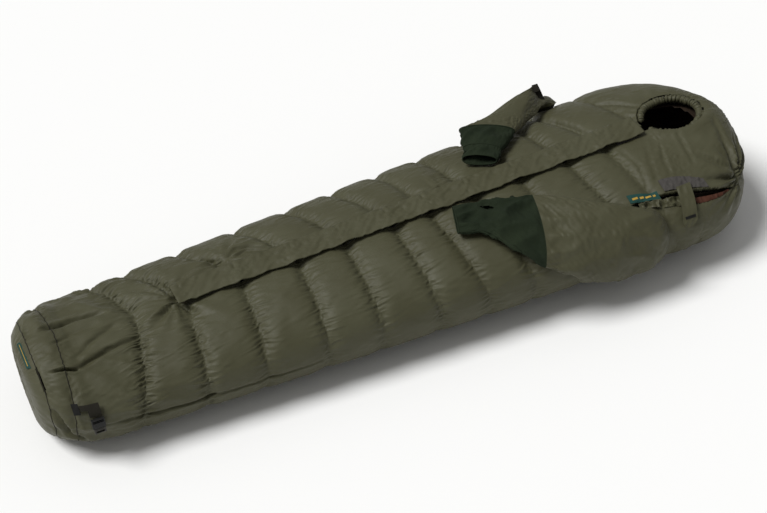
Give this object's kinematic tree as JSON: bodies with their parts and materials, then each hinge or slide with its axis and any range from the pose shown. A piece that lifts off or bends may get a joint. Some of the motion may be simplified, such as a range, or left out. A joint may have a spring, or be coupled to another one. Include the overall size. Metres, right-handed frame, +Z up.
{
  "type": "sleeping bag",
  "caption": "Mummy sleeping bag with wearable sleeves, hood with face opening, flap-covered front zip, shoulder slit and foot-corner buckle.",
  "frame": {"origin": "middle of the bag's length and width, on the ground that it lies on", "axes": "+X toward the hood along the bag, +Y toward the wearer's right side, +Z up"},
  "size_m": [2.218, 0.7665, 0.3338],
  "materials": {
    "nylon": "satin ripstop nylon",
    "lining": "smooth inner fabric",
    "knit": "stretch knit",
    "webbing": "woven webbing",
    "plastic": "moulded",
    "grey_plastic": "moulded",
    "zip_tape": "woven tape",
    "zip_teeth": "coil",
    "zip_metal": "satin",
    "hook_loop": "hook and loop",
    "rust_cloth": "plain weave",
    "label": "woven label"
  },
  "bodies": {
    "bag": {"quilt_left": "nylon", "quilt_right": "nylon", "quilt_back": "nylon", "hood": "nylon", "foot_box": "nylon", "toe_panel": "nylon", "inner_lining": "lining", "face_hem": "nylon", "draft_collar": "lining", "draft_tube": "lining", "zip_tape_left": "zip_tape", "zip_tape_right": "zip_tape", "zip_teeth_left": "zip_teeth", "zip_teeth_right": "zip_teeth", "zip_stop_foot": "zip_metal", "zip_stop_head_left": "zip_metal", "zip_stop_head_right": "zip_metal", "flap_loop_tape": "hook_loop", "slit_hook_tape": "hook_loop", "slit_facing": "rust_cloth", "slit_draft_flap": "nylon", "label_chest": "label", "label_toe": "label", "strap_anchor": "plastic", "foot_strap": "webbing", "buckle_socket": "plastic"},
    "flap": {"draft_flap": "nylon", "flap_hook_tape": "hook_loop"},
    "slider": {"zip_slider": "zip_metal"},
    "pull": {"zip_pull": "zip_metal"},
    "left_sleeve": {"sleeve_left": "nylon", "cuff_left": "knit", "cuff_band_left": "knit"},
    "right_sleeve": {"sleeve_right": "nylon", "cuff_right": "knit", "cuff_band_right": "knit", "sleeve_strap_right": "webbing"},
    "tab": {"closing_tab": "nylon"},
    "plug": {"buckle_plug": "grey_plastic"}
  },
  "joints": [
    {"name": "flap_hinge", "type": "hinge", "parent": "bag", "child": "flap", "pos_m": [0.07921, 0.04629, 0.29395], "axis": [-0.9996, 0.0002, -0.0297], "range_deg": [0, 85]},
    {"name": "slider_slide", "type": "slide", "parent": "bag", "child": "slider", "axis": [-0.9996, 0, -0.0294], "range_m": [0, 1.39]},
    {"name": "pull_hinge", "type": "hinge", "parent": "slider", "child": "pull", "pos_m": [0.785, 0, 0.29395], "axis": [0, 1, 0], "range_deg": [0, 25]},
    {"name": "left_sleeve_swing", "type": "hinge", "parent": "bag", "child": "left_sleeve", "pos_m": [0.7225, -0.34667, 0.1983], "axis": [0, 0.3999, 0.9166], "range_deg": [0, 80]},
    {"name": "right_sleeve_swing", "type": "hinge", "parent": "bag", "child": "right_sleeve", "pos_m": [0.7225, 0.34667, 0.1983], "axis": [0, 0.3999, -0.9166], "range_deg": [0, 80]},
    {"name": "tab_hinge", "type": "hinge", "parent": "bag", "child": "tab", "pos_m": [0.80106, -0.2647, 0.2775], "axis": [-0.9993, 0.0206, -0.0305], "range_deg": [0, 110]},
    {"name": "plug_slide", "type": "slide", "parent": "bag", "child": "plug", "axis": [0, 0, -1], "range_m": [0, 0.025]}
  ]
}
